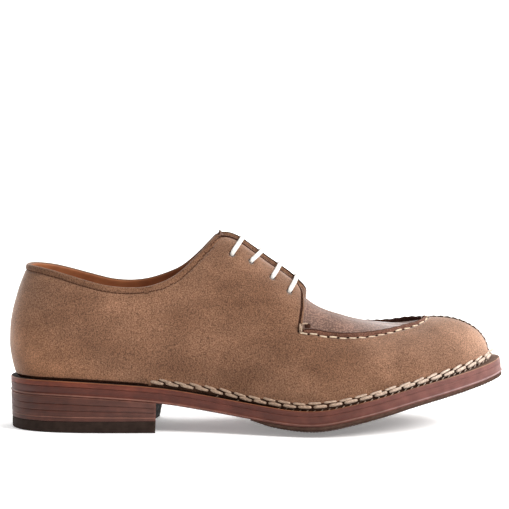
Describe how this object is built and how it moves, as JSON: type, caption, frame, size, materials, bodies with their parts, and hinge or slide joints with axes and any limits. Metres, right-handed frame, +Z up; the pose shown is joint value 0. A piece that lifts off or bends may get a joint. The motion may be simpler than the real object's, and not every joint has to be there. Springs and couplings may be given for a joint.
{
  "type": "derby shoe",
  "caption": "Right suede derby shoe: hollow upper with sewn-in apron and split toe, laced facings, leather sole, stacked heel and rubber treads; the foot goes in at the collar.",
  "frame": {"origin": "on the floor under the middle of the shoe's bounding box, with the shoe standing on its heel and forefoot", "axes": "+X from heel to toe, +Y to the inner side of the foot, +Z up"},
  "size_m": [0.3068, 0.1056, 0.1215],
  "materials": {
    "suede": "tan-brown suede with a short nap",
    "grain_leather": "dark brown pebble grain, half matt",
    "insole_leather": "undyed smooth leather",
    "sole_leather": "red-brown stained and waxed edge",
    "dark_rubber": "dark brown rubber, matt",
    "white_cotton": "white waxed round cotton lace"
  },
  "bodies": {
    "root": {"upper": "suede", "apron": "grain_leather", "tongue": "grain_leather", "insole": "insole_leather", "midsole": "sole_leather", "outsole": "sole_leather", "half_sole": "dark_rubber", "heel_lift_1": "sole_leather", "heel_lift_2": "sole_leather", "heel_lift_3": "sole_leather", "heel_lift_4": "sole_leather", "heel_top_piece": "dark_rubber", "lace_bar_1": "white_cotton", "lace_bar_2": "white_cotton", "lace_bar_3": "white_cotton", "lace_bar_4": "white_cotton"}
  },
  "joints": []
}
